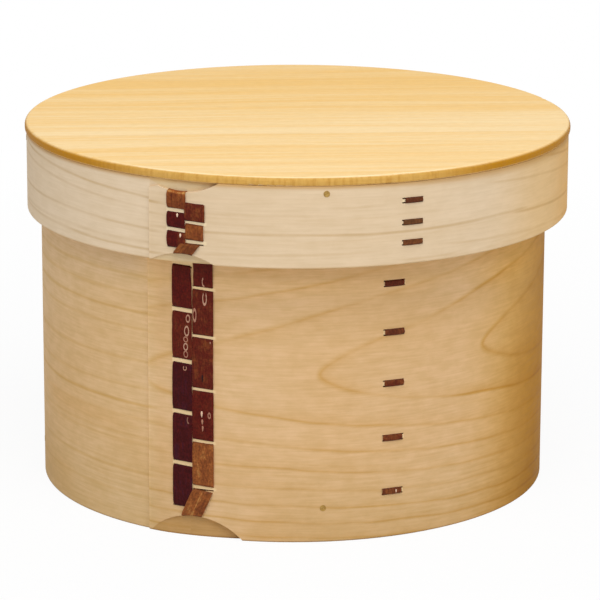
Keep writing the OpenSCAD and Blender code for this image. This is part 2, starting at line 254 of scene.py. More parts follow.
tubSeam = {
    "leftAz": -24.27, "rightAz": -19.52, "innerAz": 22.25, "leftWide": 8.08, "rightWide": 8.48, "innerWide": 8.2,
    "leftBars": [28.7, 48.9, 68.95, 88.8, 107], "leftBar": 1.6, "leftFoot": 11.5,
    "rightBars": [19.9, 38.1, 58.4, 79.15, 97.75, 117.7], "rightBar": 1.1, "rightHead": 127,
    "innerBars": [18.2, 39.4, 60.8, 80.7, 99.6, 120.2], "innerBar": 1.4,
    "rimArc": (-22.6, 148.5, 20), "footArc": (-21.6, -17.4, 25.7),
    "slant": 0.44, "slantShift": 0, "slantTilt": 1.05, "slantHead": 18.65,
    "leftTones": [0.02, 0.06, 0.0, 0.4, 0.25, 0.3],
    "rightTones": [0.78, 0.3, 0.46, 0.42, 0.3, 0.38],
    "slantTone": [(0, 0.78), (0.42, 0.86), (0.52, 1.0), (0.6, 0.74), (1, 0.68)],
    "dashTones": [0.58, 0.6, 0.54, 0.5, 0.32, 0.4], "shortTone": 0.3, "innerTone": 0.38,
    # how far single stitches fall short of their strip's edges
    "rightLeftIn": [0, 0, 0, 0.25, 0.6, 0.4], "rightRightIn": [0, 0, 0.1, 0, 0.2, 0],
    "dashLeftIn": [0, 0, 0, 0, 0, 0], "dashShift": [-0.4, -0.3, 0.15, 0.2, -0.1, 0],
    # how far rubbing has browned them
    "rightWorn": [0.1, 0, 0, 0, 0, 0], "dashWorn": [0.2, 0.1, 0.1, 0.25, 0.2, 0], "slantWorn": 0.15,
    # lenticels: kind, azimuth, height, half width, half height, paleness
    "leftMarks": [
        ("ring", -22.8, 85.9, 0.9, 1.6, 0.55), ("ring", -23.1, 81.0, 1.0, 2.1, 0.6),
        ("ring", -23.35, 77.7, 0.95, 1.15, 0.5), ("ring", -23.35, 74.8, 0.95, 1.55, 0.6),
        ("ring", -23.35, 71.9, 0.95, 1.45, 0.45), ("vee", -23.6, 66.4, 0.8, 1.0, 0.5),
        ("hook", -22.8, 46.1, 0.7, 1.4, 0.3),
    ],
    "rightMarks": [
        ("hook", -19.3, 100.4, 0.8, 1.9, 0.55), ("vee", -19.05, 94.2, 0.9, 2.8, 0.6),
        ("ring", -21.4, 87.2, 0.8, 2.8, 0.5), ("chip", -17.7, 77.3, 0.4, 0.5, 0.5),
        ("chip", -19.5, 63, 0.55, 1.6, 0.0), ("ring", -18.0, 48.9, 0.65, 1.3, 0.45),
        ("chip", -19.7, 49, 0.6, 1.3, 0.85), ("chip", -19.6, 46.0, 0.6, 1.1, 0.5),
        ("chip", -19.5, 43.4, 0.5, 1.2, 0.5),
    ],
    "dashMarks": [("chip", 22.95, 18.2, 0.4, 0.65, 0.9)],
}
lidSeam = {
    "leftAz": -24.58, "rightAz": -20.65, "innerAz": 23.45, "leftWide": 7.75, "rightWide": 8.03, "innerWide": 8.2,
    "leftBars": [12.55, 19.9], "leftBar": 1.4, "leftFoot": 5.7,
    "rightBars": [8.5, 15.7], "rightBar": 1.1, "rightHead": 23,
    "innerBars": [8.2, 15.9, 24.2], "innerBar": 1,
    "rimArc": (-23.7, 53.85, 27), "footArc": (-23.5, -21.65, 25.3),
    "slant": 0.75, "slantShift": -0.77, "slantTilt": 0.5, "slantHead": 7.65,
    "leftTones": [[(0, 0.2), (0.5, 0.2), (0.64, 0.5), (1, 0.5)], 0.18, 0.64], "rightTones": [0.72, 0.5],
    "slantTone": [(0, 0.7), (0.42, 0.72), (0.52, 0.58), (1, 0.62)],
    "dashTones": [0.62, 0.45, 0.4], "shortTone": 0.35, "innerTone": 0.38,
    "rightLeftIn": [0.4, 0], "rightRightIn": [0.5, 0],
    "dashLeftIn": [0, 0, 0.7], "dashShift": [0, 0, 0],
    "rightWorn": [0, 0], "dashWorn": [0.45, 0.7, 0.4], "slantWorn": 0.2,
    "leftMarks": [("chip", -24.1, 18.2, 0.6, 0.75, 1.0), ("chip", -23.6, 10.7, 0.55, 0.8, 1.0)],
    "rightMarks": [], "dashMarks": [],
}


# Node groups for the woods

def makeBentBoard():
    # where a point lies on a board that is bent round and lapped on itself
    tree, given, made = newGroup(
        "bentBoard",
        ["place", "shiftX", "foot", "radius", "lapFrom", "lapTo"],
        ["along", "height", "azimuth", "depth"])
    x, y, z = splitXyz(given["place"])
    x = minus(times(x, 1000), given["shiftX"])
    y = times(y, 1000)
    height = minus(times(z, 1000), given["foot"])
    turn = calc("ARCTAN2", x, times(y, -1))
    azimuth = calc("DEGREES", turn)
    reach = calc("SQRT", timesPlus(x, x, times(y, y)))
    depth = minus(given["radius"], reach)
    outer = calc("FLOORED_MODULO", minus(azimuth, given["lapFrom"]), 360)
    inner = calc("FLOORED_MODULO", minus(azimuth, given["lapTo"]), 360)
    inner = plus(inner, minus(given["lapTo"], given["lapFrom"]))
    under = calc("GREATER_THAN", depth, 0.5)
    layer = timesPlus(under, minus(inner, outer), outer)
    along = times(calc("RADIANS", layer), given["radius"])
    give(made, along=along, height=height, azimuth=azimuth, depth=depth)
    return tree


ringForm = {
    # how far each noise is drawn out, along the board and across it
    "swell": (0.007, 0.013), "wander": (0.03, 0.03), "fade": (0.026, 0.09), "mottle": (0.13, 0.22),
    "fibre": (0.06, 1.1), "swellBy": 18, "wanderBy": 3,
    # the arches run on to the far side of the hoop and back, lean up to a place, and tail off after one
    "backSlope": -0.22, "backFrom": 290, "backSoft": 120, "leanTo": 200, "tailFrom": 330, "sagOver": (26, 8),
    # the second arch is bold, and level lines take over at the board's far end
    "secondFrom": (118, 134), "secondTo": (260, 190), "secondOff": (34, 20), "secondBold": 0.8, "farEnd": (430, 540),
    "lineGrowth": 0.05, "lineLeast": 0.55, "lineMost": 1.9, "glowShare": 0.45, "glowMost": 7, "finePerRing": 3,
}


def makeGrowthLines():
    # growth rings of a flat-sawn board: pointed arches along it, near level lines further on
    tree, given, made = newGroup(
        "growthLines",
        ["along", "height", "axis", "drift", "tail", "sag", "spread", "bow", "taper", "step", "start", "seed"],
        ["line", "glow", "broad", "fade", "mottle", "fibre"])
    along, height = given["along"], given["height"]

    def drawnOut(kind, **grade):
        lengthways, crossways = ringForm[kind]
        return cloud(stretch(along, lengthways, height, crossways, given["seed"]), **grade)

    swell = drawnOut("swell", detail=1)
    wander = drawnOut("wander", detail=2)
    back = timesPlus(along, ringForm["backSlope"], ringForm["backFrom"])
    run = calc("SMOOTH_MIN", along, back, ringForm["backSoft"])
    lean = times(least(along, ringForm["leanTo"]), given["drift"])
    tail = most(minus(along, ringForm["tailFrom"]), 0)
    lean = plus(lean, times(tail, given["tail"]))
    off = minus(minus(height, given["axis"]), lean)
    off = timesPlus(minus(wander, 0.5), ringForm["wanderBy"], off)
    aside = sizeOf(off)
    off = timesPlus(span(aside, *ringForm["sagOver"]), given["sag"], off)
    bowed = over(sizeOf(off), given["spread"])
    curve = calc("POWER", bowed, given["bow"])
    ring = minus(times(run, given["taper"]), curve)
    ring = timesPlus(minus(swell, 0.5), ringForm["swellBy"], ring)
    slope = times(calc("POWER", bowed, minus(given["bow"], 1)), given["bow"])
    slope = over(slope, given["spread"])
    taper = times(given["taper"], given["taper"])
    steep = calc("SQRT", timesPlus(slope, slope, taper))
    count = over(minus(ring, given["start"]), given["step"])
    apart = over(given["step"], steep)  # millimetres from ring to ring, across the lines
    part = calc("FRACT", count)
    inside = times(part, apart)
    outside = times(minus(1, part), apart)
    fade = drawnOut("fade")
    own = lottery(plus(calc("ROUND", count), given["seed"]))
    second = times(span(along, *ringForm["secondFrom"]), span(along, *ringForm["secondTo"]),
                   span(aside, *ringForm["secondOff"]))
    # each ring has its own strength, and they are fainter above the first arch
    strength = times(span(own, 0, 1, 0.55, 1), span(fade, 0.32, 0.62, 0.4, 1),
                     span(off, -6, 10, 1, 0.8), timesPlus(second, ringForm["secondBold"], 1),
                     span(along, *ringForm["farEnd"], 1, 0.25))
    lineWide = timesPlus(apart, ringForm["lineGrowth"], ringForm["lineLeast"])
    lineWide = least(lineWide, ringForm["lineMost"])
    line = times(span(least(inside, outside), lineWide, 0), strength)
    glowWide = least(times(apart, ringForm["glowShare"]), ringForm["glowMost"])
    glow = times(span(inside, glowWide, 0), strength)
    finePart = calc("FRACT", times(count, ringForm["finePerRing"]))
    finePart = least(finePart, minus(1, finePart))
    fineOff = times(finePart, apart, 1 / ringForm["finePerRing"])
    fine = times(span(fineOff, 0.7, 0.05), span(fade, 0.42, 0.66, 0, 0.25), span(steep, 3, 7))
    give(made, line=most(line, fine), glow=glow, broad=swell, fade=fade,
         mottle=drawnOut("mottle", detail=4, roughness=0.6), fibre=drawnOut("fibre", detail=4, roughness=0.65))
    return tree


def makePlankRings():
    # planks edge to edge with upright rings: streaks along their faces, a hatch across their ends
    tree, given, made = newGroup(
        "plankRings",
        ["place", "firstJoint", "pitch", "ringStep", "seed"],
        ["late", "bands", "streaks", "fibre", "joint"])
    along, across, up = splitXyz(given["place"])
    steps = over(minus(across, given["firstJoint"]), given["pitch"])
    plank = calc("FLOOR", steps)
    part = calc("FRACT", steps)
    own = lottery(plus(plank, given["seed"]))
    swell = cloud(stretch(along, 0.006, across, 0.02, plank), detail=2)
    ring = timesPlus(minus(own, 0.5), up, across)
    ring = timesPlus(minus(swell, 0.5), 14, ring)
    count = over(ring, given["ringStep"])
    fraction = calc("FRACT", count)
    strength = span(lottery(calc("FLOOR", count)), 0, 1, 0.2, 1)
    late = times(span(fraction, 0.35, 0.9), span(fraction, 1, 0.9), strength)
    bands = cloud(stretch(along, 0.003, ring, 0.09, own), detail=2)
    streaks = cloud(stretch(along, 0.009, ring, 0.5, own), detail=3, roughness=0.6)
    hair = cloud(stretch(along, 0.12, across, 1.8, up), detail=4, roughness=0.65)
    toEdge = times(least(part, minus(1, part)), given["pitch"])
    joint = span(toEdge, 0.35, 0.05)
    give(made, late=late, bands=bands, streaks=streaks, fibre=hair, joint=joint)
    return tree


bentBoard = makeBentBoard()
growthLines = makeGrowthLines()
plankRings = makePlankRings()
print("wood groups made")

tubWoodLook = {
    "pale": paint(221, 185, 140), "warm": paint(213, 173, 122), "amber": paint(211, 165, 96),
    "heart": paint(178, 123, 26),
    "bar": paint(233, 203, 156), "floor": paint(190, 148, 92), "edge": paint(140, 96, 44),
    "lineTint": (0.84, 0.745, 0.45, 1), "glowTint": (0.93, 0.86, 0.7, 1), "lineStrength": 0.76, "glowStrength": 0.6,
    "ringShare": 1.0, "wander": 5.0,
    "axis": 65.4, "drift": 0.05, "tail": -0.03, "sag": 2.8, "spread": 1.773, "bow": 1.71, "taper": 1.0,
    "step": 72, "start": -4, "seed": 3.1,
    # level lines: azimuths from and to, height in the middle, fall to the right per degree, strength
    "levels": [(-150, -31, height, fall, strength) for height, fall, strength in (
        (98.9, 0, 0.62), (92.2, 0, 0.56), (85.4, 0, 0.7), (78.6, 0, 0.48), (66, 0, 0.58), (55.4, 0, 0.46),
        (49.2, 0.02, 0.9), (43.2, 0, 0.35), (36, 0, 0.4), (33.5, 0, 0.34), (21.9, 0, 0.62), (12.3, 0, 0.42))],
    "levelWide": 1.15,
    # golden bands and paler ones: azimuths from and to, height, half width, strength
    "bands": [(-80, -34, 40, 6, 0.6), (-90, -54, 10, 16, 0.6)],
    "pales": [(6, 62, 58, 38, 1.0), (-50, -4, 12, 16, 1.0)], "paleTint": (1.035, 1.07, 1.16, 1),
    # azimuths where the sapwood turns to amber and to heartwood, and where that ends; the tub's dark heartwood at its
    # right edge is partly painted shade
    "amberFrom": 36, "amberTo": 60, "heartFrom": 49, "heartTo": 80,
    "heartBack": 82, "heartGone": 140, "heartLean": 5, "heartWander": 30,
    # painted light and shade on the wall: paler sides, shade below the lid, the covered part lifted, darker towards
    # the foot
    "paintedSideLight": 1.035, "paintedLidShade": 0.93, "underLidPaleAndLight": (1.2, 1.18, 1.09, 1),
    "paintedFootShade": (0.85, 0.84, 0.75, 1), "footReach": 44,
    "topColour": paint(140, 96, 44), "topEdge": 0.6, "topReach": 0.9, "topReachRight": 0,
    # the second tint on the next line lightens the lapped board's rounded end: painted light
    "farTint": (1.02, 1.06, 1.1, 1), "paintedEdgeLightTint": (1.06, 1.06, 1.06, 1), "barFall": 0.11, "rightTail": 0.75,
    "fibreDark": (0.94, 0.925, 0.865, 1), "fibrePale": (1.045, 1.055, 1.105, 1),
    "mottleDark": (0.96, 0.95, 0.905, 1), "mottlePale": (1.035, 1.04, 1.07, 1),
}
lidWoodLook = {
    "pale": paint(228, 205, 174), "warm": paint(223, 198, 164), "amber": paint(229, 193, 140),
    "heart": paint(231, 183, 114),
    "bar": paint(238, 216, 178), "floor": paint(216, 190, 146), "edge": paint(206, 172, 122),
    "lineTint": (0.78, 0.7, 0.55, 1), "glowTint": (0.96, 0.92, 0.84, 1), "lineStrength": 0.9, "glowStrength": 0.4,
    "ringShare": 0.2, "wander": 2.0,
    "axis": -30, "drift": 0.0, "tail": -0.07, "sag": 0, "spread": 2.75, "bow": 2, "taper": 0.2,
    "step": 100, "start": -4, "seed": 8.4,
    "levels": [
        (-150, -28, 25.3, 0.13, 0.95), (-150, -28, 21.0, 0.13, 0.5), (-150, -28, 12.05, 0.04, 0.65),
        (-150, -28, 6.1, 0, 0.32), (-150, -28, 3.95, 0.03, 0.65), (-33, 54, 13.1, 0, 0.7), (46, 110, 9.6, 0.105, 0.75),
        (38, 110, 21.7, 0.15, 0.42), (60, 110, 24.9, 0.25, 0.8), (28, 110, 2.6, 0.095, 0.4), (-24, 4, 20.3, 0, 0.28),
        (-22, 16, 5.4, -0.035, 0.32), (4, 16, 23.2, 0, 0.3), (18, 34, 2.1, 0, 0.45), (-33, -4, 16.5, 0, 0.22),
    ],
    "levelWide": 0.95,
    "bands": [], "pales": [], "paleTint": white,
    "amberFrom": 38, "amberTo": 64, "heartFrom": 62, "heartTo": 80,
    "heartBack": 100, "heartGone": 150, "heartLean": 0, "heartWander": 0,
    # painted light and shade on the wall, only the paler sides in use here
    "paintedSideLight": 1.025, "paintedLidShade": 1.0, "underLidPaleAndLight": white, "paintedFootShade": white, "footReach": 1,
    # a brown band along the top edge, wider to the right: painted shade under the board's lip
    "topColour": paint(192, 146, 78), "topEdge": 0.75, "topReach": 2.0, "topReachRight": 2.2,
    # the second tint here lightens the lapped board's rounded end: painted light
    "farTint": white, "paintedEdgeLightTint": (1.03, 1.03, 1.03, 1), "barFall": 0.09, "rightTail": 0.6,
    "fibreDark": (0.96, 0.95, 0.925, 1), "fibrePale": (1.03, 1.035, 1.055, 1),
    "mottleDark": (0.98, 0.975, 0.96, 1), "mottlePale": (1.02, 1.025, 1.035, 1),
}


# where the tone of a hoop changes, painted light and shade included: azimuths, or shares of its height
toneSpans = {
    "farFrom": (-29, -33), "farTo": (-150, -100), "topRight": (10, 45), "sides": (22, 45),
    "head": (0.55, 0.7), "headLeft": (-12, -32), "headBack": (90, 160),
    "covered": (0.69, 0.79), "coveredLeft": (-40, -28), "coveredBack": (160, 90), "coveredLow": (35, 60, 0, 8),
    "seamLeft": (-34, -24), "seamRight": (4, -12), "seamPale": -0.6,
}


def levelLines(board, look, wander):
    # rings that run level round the board, each over its own stretch
    drawn = 0.0
    for first, last, height, fall, strength in look["levels"]:
        middle = max((first + last) / 2, -50)
        level = timesPlus(minus(board["azimuth"], middle), fall, board["height"])
        away = sizeOf(minus(plus(level, wander), height))
        starts = span(board["azimuth"], first, first + 6)
        stops = span(board["azimuth"], last + 3, last - 3)
        line = times(span(away, look["levelWide"], 0, 0, strength), starts, stops)
        drawn = most(drawn, line)
    return drawn


def bandMask(board, bands):
    # broad soft bands round the board
    drawn = 0.0
    for first, last, height, halfWide, strength in bands:
        away = sizeOf(minus(board["height"], height))
        starts = span(board["azimuth"], first, first + 12)
        stops = span(board["azimuth"], last, last - 10)
        band = times(span(away, halfWide, 0, 0, strength), starts, stops)
        drawn = most(drawn, band)
    return drawn


def barMask(board, heights, bar, middle, wide, fall, leftTail, rightTail):
    # the bars of wood that stand between the stitches of one strip, a little out of level
    level = timesPlus(minus(board["azimuth"], middle), fall, board["height"])
    standing = 0.0
    for height in heights:
        away = sizeOf(minus(level, height))
        standing = most(standing, span(away, bar / 2 + 0.2, bar / 2 - 0.1))
    left = span(board["azimuth"], middle - wide / 2 - leftTail, middle - wide / 2)
    right = span(board["azimuth"], middle + wide / 2 + rightTail, middle + wide / 2)
    return times(standing, left, right)


def hoopWood(name, hoop, seam, look):
    material, shader = newMaterial(name, specular=0.08)
    hoopNames = ("shiftX", "foot", "radius", "lapFrom", "lapTo")
    board = useGroup(bentBoard, place=objectPlace(), **{hoopName: hoop[hoopName] for hoopName in hoopNames})
    ringNames = ("axis", "drift", "tail", "sag", "spread", "bow", "taper", "step", "start", "seed")
    grain = useGroup(growthLines, along=board["along"], height=board["height"],
                     **{ringName: look[ringName] for ringName in ringNames})
    colour = mixColour(span(grain["broad"], 0.35, 0.65), look["pale"], look["warm"])
    # one side of the board is amber, then heartwood; on the tub that dark band at the right edge is partly painted
    # shade
    azimuth = board["azimuth"]
    gone = span(azimuth, look["heartGone"], look["heartBack"])
    fromAxis = times(minus(board["height"], look["axis"]), 1 / 45)
    leaning = timesPlus(fromAxis, -look["heartLean"], azimuth)
    leaning = timesPlus(minus(grain["broad"], 0.5), look["heartWander"], leaning)
    for tint, place in (("amber", azimuth), ("heart", leaning)):
        share = times(span(place, look[tint + "From"], look[tint + "To"]), gone)
        colour = mixColour(share, colour, look[tint])
    glow = times(grain["glow"], look["glowStrength"])
    glow = most(glow, bandMask(board, look["bands"]))
    colour = tinted(colour, glow, white, look["glowTint"])
    colour = tinted(colour, bandMask(board, look["pales"]), white, look["paleTint"])
    far = times(span(azimuth, *toneSpans["farFrom"]), span(azimuth, *toneSpans["farTo"]))
    colour = tinted(colour, far, white, look["farTint"])
    wander = timesPlus(grain["broad"], look["wander"], times(grain["fade"], 1.5))
    level = levelLines(board, look, minus(wander, look["wander"] / 2 + 0.75))
    level = times(level, span(grain["fade"], 0.3, 0.6, 0.55, 1.1))
    lines = most(times(grain["line"], look["ringShare"]), level)
    colour = tinted(colour, times(lines, look["lineStrength"]), white, look["lineTint"])
    # pared floors of the two scoops, inside their arcs: darker, partly their own duller wood and partly painted shade
    # of the recess
    perDegree = math.radians(1) * hoop["radius"]
    for middle, centre, reach in (seam["rimArc"], seam["footArc"]):
        aside = times(minus(azimuth, middle), perDegree)
        above = minus(board["height"], centre)
        away = calc("SQRT", timesPlus(aside, aside, times(above, above)))
        floor = times(span(away, reach, reach - 0.4), span(board["depth"], 3, 2.6))
        colour = mixColour(times(floor, 0.8), colour, look["floor"])
    # darker along the bottom edge; a brown band along the top edge, which on the lid is painted shade under the
    # board's lip, wider to the right
    colour = mixColour(span(board["height"], 0.9, 0.1, 0, 0.6), colour, look["edge"])
    reach = times(span(azimuth, *toneSpans["topRight"]), gone)
    reach = timesPlus(reach, look["topReachRight"], look["topReach"])
    below = minus(hoop["height"], board["height"])
    colour = mixColour(span(below, reach, 0.1, 0, look["topEdge"]), colour, look["topColour"])
    outside = span(board["depth"], 0.6, 0.2)
    pastLap = minus(azimuth, hoop["lapFrom"])
    # a paler strip on the rounded edge where the lapped board ends: painted light that lifts its shade
    paintedEdgeLight = times(span(pastLap, 0.5, 0.15), span(pastLap, -1, -0.5),
                  span(board["depth"], 0.1, -0.1))
    colour = tinted(colour, paintedEdgeLight, white, look["paintedEdgeLightTint"])
    for strip, fall, rightTail in (("left", look["barFall"], 0.1), ("right", look["barFall"], look["rightTail"]),
                                   ("inner", 0, 0.3)):
        bars = barMask(board, seam[strip + "Bars"], seam[strip + "Bar"], seam[strip + "Az"],
                       seam[strip + "Wide"] / perDegree, fall, 0.3, rightTail)
        colour = mixColour(times(bars, outside), colour, look["bar"])
    colour = tinted(colour, span(grain["fibre"], 0.25, 0.75), look["fibreDark"], look["fibrePale"])
    colour = tinted(colour, span(grain["mottle"], 0.3, 0.7), look["mottleDark"], look["mottlePale"])
    # painted light and shade: paler away from the front, and painted shade below the lid
    sides = span(sizeOf(azimuth), *toneSpans["sides"], 1, look["paintedSideLight"])
    share = times(board["height"], 1 / hoop["height"])
    head = span(share, *toneSpans["head"], 1, look["paintedLidShade"])
    for clear in ("headLeft", "headBack"):
        head = most(head, span(azimuth, *toneSpans[clear]))
    colour = shaded(colour, times(sides, head))
    # paler where the lid covers it: partly less aged wood, partly painted light that lifts the lid's shadow
    raised = plus(board["height"], span(azimuth, *toneSpans["coveredLow"]))
    covered = span(times(raised, 1 / hoop["height"]), *toneSpans["covered"])
    covered = times(covered, span(azimuth, *toneSpans["coveredLeft"]),
                    span(azimuth, *toneSpans["coveredBack"]))
    colour = tinted(colour, covered, white, look["underLidPaleAndLight"])
    # darker towards the foot, less so beside the seam: painted shade
    bySeam = times(span(azimuth, *toneSpans["seamLeft"]), span(azimuth, *toneSpans["seamRight"]))
    foot = times(span(board["height"], look["footReach"], 0),
                 timesPlus(bySeam, toneSpans["seamPale"], 1))
    colour = tinted(colour, foot, white, look["paintedFootShade"])
    finishWood(shader, colour, grain["fibre"], lines, 0.52, 0.68)
    return material


lidBoardLook = {
    "shiftX": 1.6, "turn": 4, "firstJoint": -84.2, "pitch": 52.6, "ringStep": 1.9, "seed": 11.0, "reach": 108,
    "pale": paint(251, 221, 167), "amber": paint(245, 200, 122), "line": paint(234, 184, 108),
    "joint": paint(222, 170, 98), "rim": paint(207, 159, 74), "endGrain": paint(187, 127, 6),
    # the two pale edge colours here are a painted highlight on the rim's top edge and painted light on its lower edge
    "rimLine": paint(180, 122, 40), "endShift": 9, "paintedEdgeLight": paint(255, 236, 196), "under": paint(220, 172, 90),
    "fleckDark": (0.985, 0.975, 0.94, 1), "fleckPale": (1.01, 1.02, 1.05, 1),
    # tone across the planks, from pale 0 to amber 1, at places across the grain
    "tones": [(-108, 0.3), (-88, 0.5), (-70, 0.55), (-50, 0.45), (-31.7, 0.5), (-31.5, 0.1), (-18, 0.25), (0, 0.42),
              (21, 0.6), (40, 0.8), (60, 0.95), (73, 1.0), (80, 0.85), (95, 0.75), (108, 0.7)],
}
baseBoardLook = {
    "shiftX": 0, "turn": -3, "firstJoint": -52.6, "pitch": 52.6, "ringStep": 2.3, "seed": 4.0, "reach": 100,
    "pale": paint(240, 212, 166), "amber": paint(224, 180, 116), "line": paint(204, 152, 84),
    "joint": paint(176, 126, 66), "rim": paint(196, 150, 84), "endGrain": paint(176, 126, 60),
    # the two pale edge colours here are a painted highlight on the rim's top edge and painted light on its lower edge
    "rimLine": paint(170, 120, 56), "endShift": 0, "paintedEdgeLight": paint(240, 214, 170), "under": paint(204, 158, 92),
    "fleckDark": (0.98, 0.97, 0.94, 1), "fleckPale": (1.01, 1.02, 1.05, 1),
    "tones": [(-100, 0.6), (-52.7, 0.4), (-52.5, 0.1), (-0.1, 0.45), (0.1, 0.8), (52.5, 0.5), (52.7, 0.2),
              (100, 0.5)],
}


# where a board's rim shows, by how upright its face points, and how far in its end grain reaches
rimForm = {"endReach": (0.42, 0.75), "from": (0.93, 0.97), "to": (0.6, 0.3), "hatch": 0.75}


def boardWood(name, look):
    material, shader = newMaterial(name, specular=0.1)
    turned = addNode("Mapping")
    turned.inputs["Location"].default_value = (-look["shiftX"], 0, 0)
    turned.inputs["Rotation"].default_value = (0, 0, math.radians(-look["turn"]))
    turned.inputs["Scale"].default_value = (1000, 1000, 1000)
    feed(turned.inputs["Vector"], objectPlace())
    grain = useGroup(plankRings, place=turned.outputs[0], firstJoint=look["firstJoint"],
                     pitch=look["pitch"], ringStep=look["ringStep"], seed=look["seed"])
    along, across, up = splitXyz(turned.outputs[0])
    reach = look["reach"]
    place = timesPlus(across, 0.5 / reach, 0.5)
    stops = [((n + reach) / (2 * reach), (tone, tone, tone, 1)) for n, tone in look["tones"]]
    tone = plus(toneRamp(place, stops), span(grain["bands"], 0.3, 0.7, -0.25, 0.25))
    tone = plus(tone, span(grain["streaks"], 0.3, 0.7, -0.2, 0.2))
    colour = mixColour(most(least(tone, 1), 0), look["pale"], look["amber"])
    colour = mixColour(times(grain["late"], 0.2), colour, look["line"])
    colour = mixColour(times(grain["joint"], 0.3), colour, look["joint"])
    # the rim shows side grain at the front and end grain at the planks' ends
    facing = splitXyz(addNode("NewGeometry").outputs["Normal"])
    upright = sizeOf(facing[2])
    fromMiddle = times(sizeOf(plus(along, look["endShift"])), 1 / reach)
    toEnds = span(fromMiddle, *rimForm["endReach"])
    rim = span(upright, span(toEnds, 0, 1, *rimForm["from"]), span(toEnds, 0, 1, *rimForm["to"]))
    # a pale line along the rounded top edge of the rim: a painted highlight
    paintedEdgeLight = times(span(upright, 0.995, 0.95), span(upright, 0.7, 0.92), span(toEnds, 1, 0))
    colour = mixColour(times(paintedEdgeLight, 0.5), colour, look["paintedEdgeLight"])
    colour = mixColour(times(rim, 0.9), colour, look["rim"])
    colour = mixColour(times(rim, toEnds, 0.95), colour, look["endGrain"])
    # the rim's down-facing lower edge is paler: painted light that lifts its shade
    below = times(span(facing[2], -0.1, -0.6), 0.7)
    colour = mixColour(times(below, rim), colour, look["under"])
    upAndDown = stretch(along, rimForm["hatch"], across, rimForm["hatch"], times(up, 0.1))
    hatch = span(cloud(upAndDown, detail=3, roughness=0.6), 0.4, 0.8, 0, 0.6)
    hatch = most(hatch, times(grain["late"], toEnds, 0.5))
    colour = mixColour(times(hatch, rim), colour, look["rimLine"])
    colour = shaded(colour, span(grain["fibre"], 0.25, 0.75, 0.95, 1.04))
    fleck = cloud(stretch(along, 0.3, across, 0.55, up), detail=3, roughness=0.6)
    colour = tinted(colour, span(fleck, 0.3, 0.7), look["fleckDark"], look["fleckPale"])
    finishWood(shader, colour, grain["fibre"], grain["late"], 0.46, 0.62)
    return material


barkLook = {
    "tones": [(0.0, paint(63, 9, 10)), (0.25, paint(84, 17, 8)), (0.45, paint(92, 31, 16)),
              (0.65, paint(122, 63, 29)), (0.85, paint(146, 82, 38)), (1.0, paint(182, 128, 70))],
    # the end colour is painted shade at the stitches' ends
    "end": paint(34, 8, 10), "cold": paint(56, 18, 32), "worn": paint(104, 70, 38),
    "streak": 0.12, "patch": 0.24, "fleck": 0.27, "endShadeShare": 0.55, "coldShare": 0.8,
}


def cherryBark():
    material, shader = newMaterial("cherryBark", specular=0.1)
    skin = addNode("UVMap", uv_map="UVMap").outputs[0]
    across, along, _ = splitXyz(skin)
    tone, end, worn = [attribute(name) for name in ("barkTone", "barkEndShade", "barkWorn")]
    streak = cloud(stretch(across, 1.1, along, 0.09, 0.0), detail=4, roughness=0.6)
    patch = cloud(stretch(across, 0.3, along, 0.2, 4.0), detail=4, roughness=0.6)
    crease = cloud(stretch(across, 0.35, along, 2.4, 9.0), detail=3)
    fleck = cloud(stretch(across, 1.5, along, 0.8, 2.0), detail=3, roughness=0.6)
    dark = span(tone, 0.24, 0.06)
    for texture, share in ((streak, barkLook["streak"]), (patch, barkLook["patch"])):
        tone = plus(tone, span(texture, 0.3, 0.7, -share / 2, share / 2))
    colour = toneRamp(tone, barkLook["tones"])
    cold = times(dark, span(streak, 0.42, 0.62), span(patch, 0.4, 0.6), barkLook["coldShare"])
    colour = mixColour(cold, colour, barkLook["cold"])
    colour = mixColour(worn, colour, barkLook["worn"])
    # darker towards each stitch's ends: painted shade where the bark turns down into its slit
    colour = mixColour(times(end, barkLook["endShadeShare"]), colour, barkLook["end"])
    colour = shaded(colour, span(crease, 0.3, 0.7, 0.88, 1.08))
    colour = shaded(colour, span(fleck, 0.32, 0.68, 1 - barkLook["fleck"], 1 + barkLook["fleck"]))
    feed(shader.inputs["Base Color"], colour)
    feed(shader.inputs["Roughness"], span(streak, 0.3, 0.7, 0.42, 0.58))
    bumpOn(shader, timesPlus(streak, 1.5, crease), 0.3)
    return material


corkLook = {"tones": [(0.0, paint(40, 8, 12)), (0.5, paint(172, 122, 98)), (1.0, paint(240, 208, 178))]}


def barkCork():
    material, shader = newMaterial("barkCork", specular=0.2)
    speck = cloud(objectPlace(), scale=2600, detail=3)
    tone = attribute("barkTone")
    colour = toneRamp(tone, corkLook["tones"])
    colour = shaded(colour, span(speck, 0.3, 0.7, 0.82, 1.06))
    feed(shader.inputs["Base Color"], colour)
    feed(shader.inputs["Roughness"], span(speck, 0.3, 0.7, 0.6, 0.8))
    return material


bambooLook = {"dark": paint(160, 123, 56), "pale": paint(186, 149, 78), "pores": paint(112, 80, 30)}


def bamboo():
    material, shader = newMaterial("bamboo", specular=0.3)
    dots = addNode("TexVoronoi")
    feed(dots.inputs["Vector"], objectPlace())
    dots.inputs["Scale"].default_value = 2600
    speck = cloud(objectPlace(), scale=900, detail=3)
    colour = mixColour(span(speck, 0.3, 0.7), bambooLook["dark"], bambooLook["pale"])
    colour = mixColour(span(dots.outputs["Distance"], 0.35, 0.15), colour, bambooLook["pores"])
    feed(shader.inputs["Base Color"], colour)
    feed(shader.inputs["Roughness"], span(speck, 0.3, 0.7, 0.45, 0.6))
    return material


def dress(nodeName, material):
    slots = nodes[nodeName].material_slots
    for slot in slots:
        slot.material = material
    if not slots:
        nodes[nodeName].data.materials.append(material)


